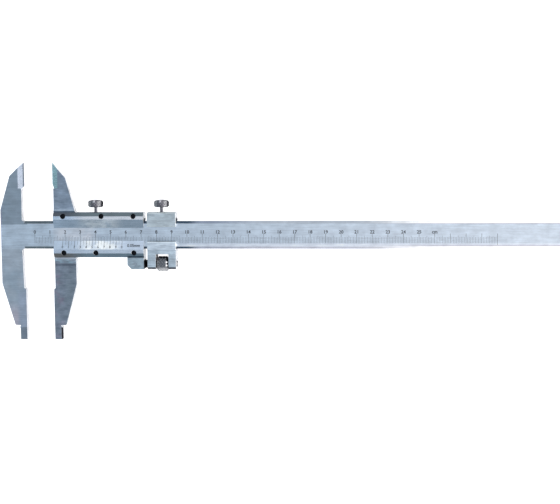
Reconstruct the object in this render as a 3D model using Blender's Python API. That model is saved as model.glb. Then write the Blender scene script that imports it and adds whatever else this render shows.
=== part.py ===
"""Vernier caliper, 0 to 300 mm in 0.05 mm, with knife jaws above the beam, flat jaws with inside
measuring nibs below it, and a fine adjustment carriage.

The caliper lies on its back: +X runs along the beam, +Y points to the knife jaws and +Z is the
scale side. Dimensions are millimetres, and mesh_object() turns them into metres. Inside the
caliper_datum empty, x = 0 is the fixed measuring face, y = 0 the beam's centre line and z = 0 the
back of the slider. The slider's and the carriage's shapes are drawn from the moving measuring face.
"""

import math

import bmesh
import bpy
from mathutils import Matrix, Vector

MILLIMETRE = 0.001

# Reading of the caliper as it lies, which is also the opening of the jaws.
READING = 18.6
FULL_READING = 300.0

# Beam.
BEAM_WIDTH = 18.0
BEAM_THICKNESS = 4.5
BEAM_CHAMFER_WIDTH = 1.55
BEAM_CHAMFER_DEPTH = 0.9
BEAM_CHAMFER_START = -0.3
BEAM_END_RADIUS = 1.0

# Slider, carriage and the running gaps between them and the beam. PAST is how far a cut runs on.
BACK_WALL = 2.6
RUNNING_GAP = 0.15
SLIDER_LEFT = 0.95
SLIDER_LENGTH = 59.0
SLIDER_TOP = 14.7
SLIDER_BOTTOM = -14.5
CHANNEL_TOP = 10.0
CHANNEL_BOTTOM = -9.12
FRONT_FACE = 10.0
WINDOW_TOP = 4.75
WINDOW_BOTTOM = -3.75
BEVEL_EDGE = 0.25
BEVEL_TOP = 10.25
BEVEL_BOTTOM = -9.2
UPPER_CHAMFER_WIDTH = 2.35
LOWER_CHAMFER_WIDTH = 2.7
EDGE_CHAMFER_DEPTH = 1.6
BACK_CHAMFER = 0.5
PAST = 1.0

# Jaws. The knife blades and the nibs are the same on both jaws.
BLADE_TIP = 47.5
BLADE_BEVEL_WIDTH = 3.75
BLADE_BEVEL_END = 30.4
BLADE_EDGE_THICKNESS = 0.5
JAW_BOTTOM = -69.0
JAW_SHOULDER = -59.5
MEASURING_FACE_TOP = -35.6
NIB_WIDTH = 5.0
NIB_TOP = -61.0
NIB_RADIUS = 3.0
NIB_STOCK = 0.05
NIB_UNDERCUT = 0.8
NIB_ROUND_START = -61.15
JAW_HEEL = 15.75
JAW_ROOT_DEPTH = 4.1
JAW_ROOT_HEIGHT = 1.25
JAW_BACK_LEDGE = 0.1
JAW_ZONE_RIGHT = 38.3

# Cover and vernier plate screws: slotted, with round heads sunk into the plates.
HEAD_RADIUS = 1.6
HEAD_HEIGHT = 1.2
HEAD_TOP = 9.75
SHANK_RADIUS = 1.0
SHANK_END = 3.4
SLOT_WIDTH = 0.5
SLOT_DEPTH = 0.45
HEAD_EDGE = 0.2
HEAD_SEAT_GAP = 0.1
FIT_GAP = 0.15
UPPER_SCREW_Y = 12.3
LOWER_SCREW_Y = -11.5
UPPER_SCREWS = {"left": 6.45, "middle": 31.55, "right": 52.45}
LOWER_SCREWS = {"left": 6.7, "middle": 27.75, "right": 52.65}

# Lug, lead screw, nut and carriage.
LUG_LEFT = 48.3
LUG_BOTTOM = -22.2
LUG_FRONT = 9.4
LUG_CHAMFER = 2.7
LEAD_Y = -18.9
LEAD_Z = 5.05
LEAD_RADIUS = 2.75
LEAD_DEPTH_IN_LUG = 8.6
JOURNAL_RADIUS = 1.9
JOURNAL_CHAMFER = 0.3
SCREW_CHAMFER = 0.4
PIN_RADIUS = 0.75
PIN_BACK = 1.1
PIN_SUNK = 0.05
CARRIAGE_LEFT = 62.45
CARRIAGE_LENGTH = 18.5
CARRIAGE_TOP = 14.8
CARRIAGE_BOTTOM = -22.2
CARRIAGE_WINDOW_TOP = 5.5
CARRIAGE_WINDOW_BOTTOM = -4.1
LEG_FRONT = 9.5
LEG_CHAMFER = 1.4
LAND_BOTTOM = -9.7
LAND_STEP = 0.2
SLOT_LEFT = 67.8
SLOT_RIGHT = 76.15
SLOT_TOP = -12.3
SLOT_CORNER = 0.6
NUT_RADIUS = 5.0
NUT_LENGTH = 7.5
NUT_CHAMFER = 1.2
NUT_GAP = 0.2
NUT_LEFT_GAP = 0.4
THREAD_PAST_NUT_CENTRE = 1.7
JOURNAL_END = 81.8
CARRIAGE_TRAVEL = 3.0
BORE_GAP = 0.12
WINDOW_EDGE = 0.5

# Clamp screws and gib springs.
CLAMP_Z = 5.05
CLAMP_HEAD_RADIUS = 5.0
CLAMP_HEAD_BOTTOM = 18.1
CLAMP_HEAD_TOP = 22.6
CLAMP_HEAD_ROUND = 1.5
CLAMP_DOME = 0.5
CLAMP_TAPER = 0.5
CLAMP_SIDES = 36
CLAMP_NECK_RADIUS = 1.0
CLAMP_THREAD_RADIUS = 1.5
CLAMP_TIP = 9.95
SLIDER_CLAMP_X = 28.2
CARRIAGE_CLAMP_X = 71.4
GIB_THICKNESS = 0.4
GIB_BOTTOM = 9.4
GIB_WIDTH = 3.4
GIB_TIP_TOP = 11.0
GIB_END_GAP = 0.2
GIB_START = 0.85
GIB_BEND_RADIUS = 0.35

# Stop screw at the beam's far end.
STOP_Y = 6.9
STOP_HEAD_RADIUS = 1.5
STOP_HEAD_HEIGHT = 1.4
STOP_SHANK_DEPTH = 2.9
STOP_TO_END = 3.1
STOP_GAP = 0.2

ROUND_SIDES = 48
MEDIUM_SIDES = 32
SMALL_SIDES = 24

# Heights and places that follow from the values above.
BEAM_BACK = BACK_WALL + RUNNING_GAP
BEAM_FRONT = BEAM_BACK + BEAM_THICKNESS
BEAM_MIDDLE = (BEAM_BACK + BEAM_FRONT) / 2
HALF_BEAM = BEAM_WIDTH / 2
PLATE_BACK = BEAM_FRONT + RUNNING_GAP
SLIDER_RIGHT = SLIDER_LEFT + SLIDER_LENGTH
LUG_RIGHT = SLIDER_RIGHT
CARRIAGE_RIGHT = CARRIAGE_LEFT + CARRIAGE_LENGTH
NUT_CENTRE = SLOT_LEFT + NUT_LEFT_GAP + NUT_LENGTH / 2
THREAD_END = NUT_CENTRE + THREAD_PAST_NUT_CENTRE
STOP_X = FULL_READING + CARRIAGE_RIGHT + CARRIAGE_TRAVEL + STOP_GAP + STOP_HEAD_RADIUS
BEAM_END = STOP_X + STOP_TO_END
DATUM = Vector((
    (JAW_HEEL - BEAM_END) / 2,
    -(BLADE_TIP + JAW_BOTTOM) / 2,
    0.0,
))


def clear_scene():
    """Remove whatever objects the scene holds."""
    for thing in list(bpy.data.objects):
        bpy.data.objects.remove(thing, do_unlink=True)


def metal(name, colour, roughness, metallic=1.0):
    """Return a Principled material for one sub-part."""
    material = bpy.data.materials.new(name)
    material.use_nodes = True
    shader = material.node_tree.nodes["Principled BSDF"]
    shader.inputs["Base Color"].default_value = (*colour, 1.0)
    shader.inputs["Roughness"].default_value = roughness
    shader.inputs["Metallic"].default_value = metallic
    return material


def pivot(name, location, parent=None):
    """Return an empty that carries sub-parts, or marks a joint's axis."""
    empty = bpy.data.objects.new(name, None)
    empty.empty_display_size = 0.005
    empty.location = Vector(location) * MILLIMETRE
    empty.parent = parent
    bpy.context.collection.objects.link(empty)
    return empty


def mesh_object(name, bm, parent, material=None, smooth=False):
    """Turn a bmesh in millimetres into an object in metres under its parent."""
    bmesh.ops.remove_doubles(bm, verts=bm.verts, dist=1e-5)
    bmesh.ops.recalc_face_normals(bm, faces=bm.faces)
    bmesh.ops.transform(bm, matrix=Matrix.Scale(MILLIMETRE, 4), verts=bm.verts)
    mesh = bpy.data.meshes.new(name)
    bm.to_mesh(mesh)
    bm.free()
    thing = bpy.data.objects.new(name, mesh)
    thing.parent = parent
    bpy.context.collection.objects.link(thing)
    if material:
        mesh.materials.append(material)
    if smooth:
        mesh.shade_smooth()
        mesh.set_sharp_from_angle(angle=math.radians(35))
    return thing


def rounded(corners, steps=5):
    """Return the outline through (u, v, radius) corners, with an arc at each rounded one."""
    outline = []
    count = len(corners)
    for index, (u, v, radius) in enumerate(corners):
        here = Vector((u, v))
        if radius == 0:
            outline.append(here)
            continue
        before = (Vector(corners[index - 1][:2]) - here).normalized()
        after = (Vector(corners[(index + 1) % count][:2]) - here).normalized()
        half = before.angle(after) / 2
        start = here + before * (radius / math.tan(half))
        end = here + after * (radius / math.tan(half))
        centre = here + (before + after).normalized() * (radius / math.sin(half))
        first = start - centre
        turn = first.angle_signed(end - centre)
        for step in range(steps + 1):
            arm = first.copy()
            arm.rotate(Matrix.Rotation(-turn * step / steps, 2))
            outline.append(centre + arm)
    return outline


def prism(outline, low, high, axis="Z"):
    """Extrude an outline along an axis; it is drawn in XY, YZ (axis X) or XZ (axis Y)."""
    bm = bmesh.new()

    def place(point, level):
        if axis == "X":
            return (level, point[0], point[1])
        if axis == "Y":
            return (point[0], level, point[1])
        return (point[0], point[1], level)

    bottom = [bm.verts.new(place(point, low)) for point in outline]
    top = [bm.verts.new(place(point, high)) for point in outline]
    bm.faces.new(bottom)
    bm.faces.new(top)
    for index in range(len(outline)):
        following = (index + 1) % len(outline)
        bm.faces.new((bottom[index], bottom[following], top[following], top[index]))
    return bm


def box(low, high):
    """Return a box between two corners."""
    outline = [(low[0], low[1]), (high[0], low[1]), (high[0], high[1]), (low[0], high[1])]
    return prism(outline, low[2], high[2])


def turned(profile, axis, centre=(0.0, 0.0, 0.0), sides=ROUND_SIDES):
    """Spin a (radius, distance) profile about an axis; its ends lie on the axis."""
    bm = bmesh.new()
    rings = []
    for radius, along in profile:
        ring = []
        for side in range(sides if radius > 0 else 1):
            angle = 2 * math.pi * side / sides
            across = (radius * math.cos(angle), radius * math.sin(angle))
            if axis == "X":
                point = (along, across[0], across[1])
            elif axis == "Y":
                point = (across[0], along, across[1])
            else:
                point = (across[0], across[1], along)
            ring.append(bm.verts.new(Vector(point) + Vector(centre)))
        rings.append(ring)
    for near, far in zip(rings, rings[1:]):
        for side in range(sides):
            after = (side + 1) % sides
            corners = [near[side % len(near)], near[after % len(near)]]
            corners += [far[after % len(far)], far[side % len(far)]]
            bm.faces.new(list(dict.fromkeys(corners)))
    return bm


def rod(radius, low, high, axis, centre=(0.0, 0.0, 0.0), sides=SMALL_SIDES):
    """Return a plain round bar."""
    return turned([(0, low), (radius, low), (radius, high), (0, high)], axis, centre, sides)


def cut(thing, bm):
    """Cut a shape out of an object with a hidden guide object."""
    guide = mesh_object(f"{thing.name}_guide_{len(thing.modifiers)}", bm, thing.parent)
    guide.hide_render = True
    guide.display_type = "WIRE"
    modifier = thing.modifiers.new("cut", "BOOLEAN")
    modifier.object = guide
    modifier.operation = "DIFFERENCE"
    modifier.solver = "EXACT"


def nib_round_cutter(side):
    """Return what is left outside a nib's round inside measuring surface; side is -1 or 1."""
    reach = BEAM_THICKNESS / 2 + 0.3
    limit = math.asin(reach / NIB_RADIUS)
    steps = 10
    outline = []
    for step in range(steps + 1):
        angle = limit * (2 * step / steps - 1)
        across = NIB_WIDTH - NIB_RADIUS + NIB_RADIUS * math.cos(angle)
        outline.append((side * across, BEAM_MIDDLE + NIB_RADIUS * math.sin(angle)))
    outline.append((side * (NIB_WIDTH + PAST), BEAM_MIDDLE + reach))
    outline.append((side * (NIB_WIDTH + PAST), BEAM_MIDDLE - reach))
    return prism(outline, JAW_BOTTOM - PAST, NIB_ROUND_START, axis="Y")


def blade_bevel_cutter(side, face):
    """Return the wedge ground off a blade; side is the jaw's side of the edge, face front or back."""
    half_edge = BLADE_EDGE_THICKNESS / 2
    rise = PAST * (BEAM_THICKNESS / 2 - half_edge) / BLADE_BEVEL_WIDTH
    outline = [
        (-side * PAST, BEAM_MIDDLE + face * (half_edge - rise)),
        (side * (BLADE_BEVEL_WIDTH + PAST), BEAM_MIDDLE + face * (BEAM_THICKNESS / 2 + rise)),
        (-side * PAST, BEAM_MIDDLE + face * (BEAM_THICKNESS / 2 + rise)),
    ]
    return prism(outline, BLADE_BEVEL_END, BLADE_TIP + PAST, axis="Y")


def make_beam(datum):
    """Make the beam with its fixed jaws, which are one piece of steel."""
    corners = [
        (0, BLADE_TIP, 0),
        (-9.2, 38.6, 1.0),
        (-JAW_HEEL, 16.5, 6.0),
        (-JAW_HEEL, -31.9, 4.0),
        (-7.7, JAW_SHOULDER, 0.8),
        (-NIB_WIDTH + NIB_UNDERCUT, JAW_SHOULDER, 0.3),
        (-NIB_WIDTH + NIB_UNDERCUT, NIB_TOP + 0.8, 0.3),
        (-NIB_WIDTH - NIB_STOCK, NIB_TOP, 0),
        (-NIB_WIDTH - NIB_STOCK, JAW_BOTTOM, 0.3),
        (0, JAW_BOTTOM, 0.2),
        (0, MEASURING_FACE_TOP, 0),
        (-1.2, MEASURING_FACE_TOP + 0.7, 0.3),
        (-2.0, -HALF_BEAM, 1.5),
        (BEAM_END, -HALF_BEAM, BEAM_END_RADIUS),
        (BEAM_END, HALF_BEAM, BEAM_END_RADIUS),
        (-1.75, HALF_BEAM, 1.5),
        (-1.5, 30.6, 0.3),
        (0, 31.9, 0),
    ]
    steel = metal("beam_steel", (0.60, 0.64, 0.69), 0.35)
    beam = mesh_object("beam", prism(rounded(corners), BEAM_BACK, BEAM_FRONT), datum, steel)
    slope = BEAM_CHAMFER_DEPTH / BEAM_CHAMFER_WIDTH
    for side in (-1, 1):
        edge = [
            (side * (HALF_BEAM - BEAM_CHAMFER_WIDTH - PAST), BEAM_FRONT + PAST * slope),
            (side * (HALF_BEAM + PAST), BEAM_FRONT + PAST * slope),
            (side * (HALF_BEAM + PAST), BEAM_FRONT - BEAM_CHAMFER_DEPTH),
            (side * HALF_BEAM, BEAM_FRONT - BEAM_CHAMFER_DEPTH),
        ]
        cut(beam, prism(edge, BEAM_CHAMFER_START, BEAM_END + PAST, axis="X"))
    for face in (-1, 1):
        cut(beam, blade_bevel_cutter(-1, face))
    cut(beam, nib_round_cutter(-1))
    stop_centre = (STOP_X, STOP_Y, 0)
    hole_bottom = BEAM_FRONT - STOP_SHANK_DEPTH - 2 * FIT_GAP
    cut(beam, rod(SHANK_RADIUS + FIT_GAP, hole_bottom, BEAM_FRONT + PAST, "Z", stop_centre))
    return beam


def slot_cutter(top):
    """Return the screwdriver slot of a screw whose head ends at that height."""
    reach = HEAD_RADIUS + PAST
    return box((-reach, -SLOT_WIDTH / 2, top - SLOT_DEPTH), (reach, SLOT_WIDTH / 2, top + PAST))


def make_stop_screw(datum):
    """Make the stop screw that keeps the carriage and the slider on the beam."""
    centre = pivot("beam_stop_screw_axis", (STOP_X, STOP_Y, 0), datum)
    tip = BEAM_FRONT - STOP_SHANK_DEPTH
    seat = BEAM_FRONT + HEAD_SEAT_GAP
    top = seat + STOP_HEAD_HEIGHT
    profile = [
        (0, tip),
        (SHANK_RADIUS, tip),
        (SHANK_RADIUS, seat),
        (STOP_HEAD_RADIUS, seat),
        (STOP_HEAD_RADIUS, top - HEAD_EDGE),
        (STOP_HEAD_RADIUS - HEAD_EDGE, top),
        (0, top),
    ]
    steel = metal("beam_stop_screw_steel", (0.05, 0.05, 0.06), 0.4)
    screw = mesh_object("beam_stop_screw", turned(profile, "Z", sides=SMALL_SIDES), centre, steel, True)
    cut(screw, slot_cutter(top))


def jaw_front_cutter(side, edge):
    """Return what is milled off a moving jaw's front, up to the thicker root by the slider."""
    run = JAW_ROOT_DEPTH
    rise = JAW_ROOT_HEIGHT
    radius = (run * run + rise * rise) / (2 * rise)
    outline = []
    steps = 6
    for step in range(steps + 1):
        along = run * step / steps
        height = radius - math.sqrt(radius * radius - (run - along) ** 2)
        outline.append((edge + side * (FIT_GAP + along), BEAM_FRONT + height))
    outline[0] = (edge + side * FIT_GAP / 2, outline[0][1])
    beyond_jaw = -side * JAW_BOTTOM + side * PAST
    outline.append((beyond_jaw, BEAM_FRONT))
    outline.append((beyond_jaw, FRONT_FACE + PAST))
    outline.append((outline[0][0], FRONT_FACE + PAST))
    return prism(outline, -PAST, JAW_ZONE_RIGHT, axis="X")


def slider_outline():
    """Return the slider's outline with both moving jaws and the lug."""
    lug_left = SLIDER_LEFT + LUG_LEFT
    return rounded([
        (0, BLADE_TIP, 0),
        (0, 33.2, 0),
        (SLIDER_LEFT, 31.0, 0.3),
        (SLIDER_LEFT, MEASURING_FACE_TOP + 0.7, 0.2),
        (0, MEASURING_FACE_TOP, 0),
        (0, JAW_BOTTOM, 0.2),
        (NIB_WIDTH + NIB_STOCK, JAW_BOTTOM, 0.3),
        (NIB_WIDTH + NIB_STOCK, NIB_TOP, 0),
        (NIB_WIDTH - NIB_UNDERCUT, NIB_TOP + 0.8, 0.3),
        (NIB_WIDTH - NIB_UNDERCUT, JAW_SHOULDER, 0.3),
        (7.65, JAW_SHOULDER, 0.8),
        (15.0, -32.5, 3.0),
        (15.0, SLIDER_BOTTOM, 1.0),
        (lug_left, SLIDER_BOTTOM, 0.5),
        (lug_left, LUG_BOTTOM + LUG_CHAMFER, 0),
        (lug_left + LUG_CHAMFER, LUG_BOTTOM, 0),
        (LUG_RIGHT, LUG_BOTTOM, 0),
        (LUG_RIGHT, SLIDER_TOP, 0),
        (15.0, SLIDER_TOP, 2.0),
        (8.9, 37.2, 0.8),
    ])


def make_slider_frame(slider):
    """Make the slider: an open channel round the beam, with both moving jaws and the lug."""
    steel = metal("slider_steel", (0.50, 0.55, 0.61), 0.38)
    frame = mesh_object("slider_frame", prism(slider_outline(), 0, LUG_FRONT), slider, steel)
    past_right = SLIDER_RIGHT + PAST
    seat = box((-PAST, SLIDER_BOTTOM - FIT_GAP, BEAM_FRONT),
               (past_right, SLIDER_TOP + FIT_GAP, FRONT_FACE + PAST))
    cut(frame, seat)
    channel = box((-2 * PAST, CHANNEL_BOTTOM, BACK_WALL),
                  (past_right, CHANNEL_TOP, FRONT_FACE + 2 * PAST))
    cut(frame, channel)
    cut(frame, jaw_front_cutter(1, SLIDER_TOP))
    cut(frame, jaw_front_cutter(-1, SLIDER_BOTTOM))
    upper_ledge = SLIDER_TOP + JAW_BACK_LEDGE
    lower_ledge = SLIDER_BOTTOM - JAW_BACK_LEDGE
    cut(frame, box((-PAST, upper_ledge, -PAST), (JAW_ZONE_RIGHT, BLADE_TIP + PAST, BEAM_BACK)))
    cut(frame, box((-PAST, JAW_BOTTOM - PAST, -PAST), (JAW_ZONE_RIGHT, lower_ledge, BEAM_BACK)))
    for face in (-1, 1):
        cut(frame, blade_bevel_cutter(1, face))
    cut(frame, nib_round_cutter(1))
    bore_end = LUG_RIGHT - LEAD_DEPTH_IN_LUG - FIT_GAP
    lead_bore = rod(LEAD_RADIUS + FIT_GAP, bore_end, past_right, "X", (0, LEAD_Y, LEAD_Z))
    cut(frame, lead_bore)
    pin_centre = (pin_x(), LEAD_Y, 0)
    cut(frame, rod(PIN_RADIUS + FIT_GAP, PIN_BACK - FIT_GAP, LUG_FRONT + PAST, "Z", pin_centre))
    clamp_centre = (SLIDER_CLAMP_X, 0, CLAMP_Z)
    clamp_radius = CLAMP_THREAD_RADIUS + FIT_GAP
    cut(frame, rod(clamp_radius, CHANNEL_TOP - PAST, SLIDER_TOP + PAST, "Y", clamp_centre))
    for places, screw_y in ((UPPER_SCREWS, UPPER_SCREW_Y), (LOWER_SCREWS, LOWER_SCREW_Y)):
        for place in places.values():
            centre = (SLIDER_LEFT + place, screw_y, 0)
            hole_end = SHANK_END - 2 * FIT_GAP
            cut(frame, rod(SHANK_RADIUS + FIT_GAP, hole_end, BEAM_FRONT + PAST, "Z", centre))


def pin_x():
    """Return where the pin crosses the lug, halfway along it."""
    return SLIDER_LEFT + LUG_LEFT + (SLIDER_LENGTH - LUG_LEFT) / 2


def make_front_plate(slider, name, profile, places, screw_y, material):
    """Make a plate that closes one side of the channel, with sunk holes for its screws."""
    plate = mesh_object(name, prism(profile, SLIDER_LEFT, SLIDER_RIGHT, axis="X"), slider, material)
    seat = HEAD_TOP - HEAD_HEIGHT - HEAD_SEAT_GAP
    for place in places.values():
        hole = [
            (0, PLATE_BACK - PAST),
            (SHANK_RADIUS + FIT_GAP, PLATE_BACK - PAST),
            (SHANK_RADIUS + FIT_GAP, seat),
            (HEAD_RADIUS + FIT_GAP, seat),
            (HEAD_RADIUS + FIT_GAP, FRONT_FACE + PAST),
            (0, FRONT_FACE + PAST),
        ]
        centre = (SLIDER_LEFT + place, screw_y, 0)
        cut(plate, turned(hole, "Z", centre, SMALL_SIDES))


def make_front_plates(slider):
    """Make the upper cover plate and the vernier plate."""
    edge = FRONT_FACE - EDGE_CHAMFER_DEPTH
    cover = [
        (WINDOW_TOP, PLATE_BACK),
        (WINDOW_TOP, PLATE_BACK + BEVEL_EDGE),
        (BEVEL_TOP, FRONT_FACE),
        (SLIDER_TOP - UPPER_CHAMFER_WIDTH, FRONT_FACE),
        (SLIDER_TOP, edge),
        (SLIDER_TOP, PLATE_BACK),
    ]
    vernier = [
        (WINDOW_BOTTOM, PLATE_BACK),
        (WINDOW_BOTTOM, PLATE_BACK + BEVEL_EDGE),
        (BEVEL_BOTTOM, FRONT_FACE),
        (SLIDER_BOTTOM + LOWER_CHAMFER_WIDTH, FRONT_FACE),
        (SLIDER_BOTTOM, edge),
        (SLIDER_BOTTOM, PLATE_BACK),
    ]
    cover_steel = metal("cover_plate_steel", (0.62, 0.67, 0.74), 0.3)
    vernier_steel = metal("vernier_plate_steel", (0.68, 0.74, 0.84), 0.3)
    make_front_plate(slider, "upper_cover_plate", cover, UPPER_SCREWS, UPPER_SCREW_Y, cover_steel)
    make_front_plate(slider, "vernier_plate", vernier, LOWER_SCREWS, LOWER_SCREW_Y, vernier_steel)


def make_plate_screws(slider):
    """Make the six slotted screws of the two front plates."""
    black = metal("plate_screw_black", (0.02, 0.02, 0.025), 0.4)
    profile = [
        (0, SHANK_END),
        (SHANK_RADIUS, SHANK_END),
        (SHANK_RADIUS, HEAD_TOP - HEAD_HEIGHT),
        (HEAD_RADIUS, HEAD_TOP - HEAD_HEIGHT),
        (HEAD_RADIUS, HEAD_TOP - HEAD_EDGE),
        (HEAD_RADIUS - HEAD_EDGE, HEAD_TOP),
        (0, HEAD_TOP),
    ]
    rows = (("cover_screw", UPPER_SCREWS, UPPER_SCREW_Y), ("vernier_screw", LOWER_SCREWS, LOWER_SCREW_Y))
    for kind, places, screw_y in rows:
        for label, place in places.items():
            name = f"{kind}_{label}"
            centre = pivot(f"{name}_axis", (SLIDER_LEFT + place, screw_y, 0), slider)
            bm = turned(profile, "Z", sides=SMALL_SIDES)
            screw = mesh_object(name, bm, centre, black, smooth=True)
            cut(screw, slot_cutter(HEAD_TOP))


def make_lead_screw(slider):
    """Make the lead screw, fixed in the slider's lug by a cross pin."""
    axis = pivot("lead_screw_axis", (0, LEAD_Y, LEAD_Z), slider)
    start = LUG_RIGHT - LEAD_DEPTH_IN_LUG
    profile = [
        (0, start),
        (LEAD_RADIUS - SCREW_CHAMFER, start),
        (LEAD_RADIUS, start + SCREW_CHAMFER),
        (LEAD_RADIUS, THREAD_END - SCREW_CHAMFER),
        (LEAD_RADIUS - SCREW_CHAMFER, THREAD_END),
        (JOURNAL_RADIUS, THREAD_END),
        (JOURNAL_RADIUS, JOURNAL_END - JOURNAL_CHAMFER),
        (JOURNAL_RADIUS - JOURNAL_CHAMFER, JOURNAL_END),
        (0, JOURNAL_END),
    ]
    steel = metal("lead_screw_black", (0.03, 0.03, 0.035), 0.45)
    screw = mesh_object("lead_screw", turned(profile, "X", sides=MEDIUM_SIDES), axis, steel, smooth=True)
    cut(screw, rod(PIN_RADIUS + FIT_GAP, -LEAD_Z, LEAD_Z, "Z", (pin_x(), 0, 0)))

    pin_axis = pivot("lead_screw_pin_axis", (pin_x(), LEAD_Y, 0), slider)
    pin_steel = metal("lead_screw_pin_steel", (0.40, 0.44, 0.49), 0.35)
    pin = rod(PIN_RADIUS, PIN_BACK, LUG_FRONT - PIN_SUNK, "Z")
    mesh_object("lead_screw_pin", pin, pin_axis, pin_steel, smooth=True)


def make_carriage(carriage):
    """Make the carriage: a closed loop round the beam and a fork that holds the nut."""
    section = [
        (CARRIAGE_BOTTOM, BACK_CHAMFER),
        (CARRIAGE_BOTTOM + BACK_CHAMFER, 0),
        (CARRIAGE_TOP - BACK_CHAMFER, 0),
        (CARRIAGE_TOP, BACK_CHAMFER),
        (CARRIAGE_TOP, FRONT_FACE - WINDOW_EDGE),
        (CARRIAGE_TOP - WINDOW_EDGE, FRONT_FACE),
        (CARRIAGE_WINDOW_TOP + WINDOW_EDGE, FRONT_FACE),
        (CARRIAGE_WINDOW_TOP, FRONT_FACE - WINDOW_EDGE),
        (CARRIAGE_WINDOW_TOP, PLATE_BACK),
        (CHANNEL_TOP, PLATE_BACK),
        (CHANNEL_TOP, BACK_WALL),
        (CHANNEL_BOTTOM, BACK_WALL),
        (CHANNEL_BOTTOM, PLATE_BACK),
        (CARRIAGE_WINDOW_BOTTOM, PLATE_BACK),
        (CARRIAGE_WINDOW_BOTTOM, FRONT_FACE - WINDOW_EDGE),
        (CARRIAGE_WINDOW_BOTTOM - WINDOW_EDGE, FRONT_FACE),
        (LAND_BOTTOM, FRONT_FACE),
        (LAND_BOTTOM - LAND_STEP, LEG_FRONT),
        (CARRIAGE_BOTTOM + LEG_CHAMFER, LEG_FRONT),
        (CARRIAGE_BOTTOM, LEG_FRONT - LEG_CHAMFER),
    ]
    steel = metal("carriage_steel", (0.50, 0.56, 0.62), 0.38)
    body = prism(section, CARRIAGE_LEFT, CARRIAGE_RIGHT, axis="X")
    frame = mesh_object("carriage_frame", body, carriage, steel)
    slot = [
        (SLOT_LEFT, CARRIAGE_BOTTOM - PAST, 0),
        (SLOT_RIGHT, CARRIAGE_BOTTOM - PAST, 0),
        (SLOT_RIGHT, SLOT_TOP, SLOT_CORNER),
        (SLOT_LEFT, SLOT_TOP, SLOT_CORNER),
    ]
    cut(frame, prism(rounded(slot), -PAST, FRONT_FACE + PAST))
    lead = (0, LEAD_Y, LEAD_Z)
    wide = LEAD_RADIUS + BORE_GAP
    narrow = JOURNAL_RADIUS + BORE_GAP
    cut(frame, rod(wide, CARRIAGE_LEFT - PAST, SLOT_LEFT + PAST, "X", lead, MEDIUM_SIDES))
    cut(frame, rod(narrow, SLOT_RIGHT - PAST, CARRIAGE_RIGHT + PAST, "X", lead))
    clamp_centre = (CARRIAGE_CLAMP_X, 0, CLAMP_Z)
    clamp_radius = CLAMP_THREAD_RADIUS + FIT_GAP
    cut(frame, rod(clamp_radius, CHANNEL_TOP - PAST, CARRIAGE_TOP + PAST, "Y", clamp_centre))


def make_nut(carriage):
    """Make the adjusting nut, which turns on the lead screw inside the fork."""
    axis = pivot("adjusting_nut_axis", (NUT_CENTRE, LEAD_Y, LEAD_Z), carriage)
    half = NUT_LENGTH / 2
    profile = [
        (0, -half),
        (NUT_RADIUS - NUT_CHAMFER, -half),
        (NUT_RADIUS, -half + NUT_CHAMFER),
        (NUT_RADIUS, half - NUT_CHAMFER),
        (NUT_RADIUS - NUT_CHAMFER, half),
        (0, half),
    ]
    steel = metal("adjusting_nut_steel", (0.42, 0.42, 0.45), 0.4)
    nut = mesh_object("adjusting_nut", turned(profile, "X"), axis, steel, smooth=True)
    cut(nut, rod(LEAD_RADIUS + NUT_GAP, -NUT_LENGTH, NUT_LENGTH, "X", sides=MEDIUM_SIDES))


def make_gib(parent, name, left, right):
    """Make a gib spring: a leaf between channel and beam whose right end turns up outside."""
    tip = right + GIB_END_GAP
    top = GIB_BOTTOM + GIB_THICKNESS
    start = left + GIB_START
    leaf = [
        (start, GIB_BOTTOM, 0),
        (tip + GIB_THICKNESS, GIB_BOTTOM, GIB_BEND_RADIUS),
        (tip + GIB_THICKNESS, GIB_TIP_TOP, 0),
        (tip, GIB_TIP_TOP, 0),
        (tip, top, 0),
        (start, top, 0),
    ]
    low = BEAM_MIDDLE - GIB_WIDTH / 2
    steel = metal(f"{name}_steel", (0.10, 0.11, 0.12), 0.35)
    mesh_object(name, prism(rounded(leaf), low, low + GIB_WIDTH), parent, steel)


def make_clamp_screw(parent, name, clamp_x):
    """Make a clamp screw: a knurled head on a thin neck, and the thread that presses the gib."""
    axis = pivot(f"{name}_axis", (clamp_x, 0, CLAMP_Z), parent)
    profile = [
        (0, CLAMP_TIP),
        (CLAMP_THREAD_RADIUS - SCREW_CHAMFER, CLAMP_TIP),
        (CLAMP_THREAD_RADIUS, CLAMP_TIP + SCREW_CHAMFER),
        (CLAMP_THREAD_RADIUS, SLIDER_TOP - CLAMP_TAPER),
        (CLAMP_NECK_RADIUS, SLIDER_TOP),
        (CLAMP_NECK_RADIUS, CLAMP_HEAD_BOTTOM),
    ]
    arc_steps = 4
    inner = CLAMP_HEAD_RADIUS - CLAMP_HEAD_ROUND
    for low_side in (True, False):
        for step in range(arc_steps + 1):
            angle = math.pi / 2 * step / arc_steps
            if low_side:
                out = math.sin(angle)
                along = CLAMP_HEAD_BOTTOM + CLAMP_HEAD_ROUND * (1 - math.cos(angle))
            else:
                out = math.cos(angle)
                along = CLAMP_HEAD_TOP - CLAMP_HEAD_ROUND * (1 - math.sin(angle))
            profile.append((inner + CLAMP_HEAD_ROUND * out, along))
    profile.append((0, CLAMP_HEAD_TOP + CLAMP_DOME))
    steel = metal(f"{name}_steel", (0.42, 0.42, 0.45), 0.4)
    mesh_object(name, turned(profile, "Y", sides=CLAMP_SIDES), axis, steel, smooth=True)


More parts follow.
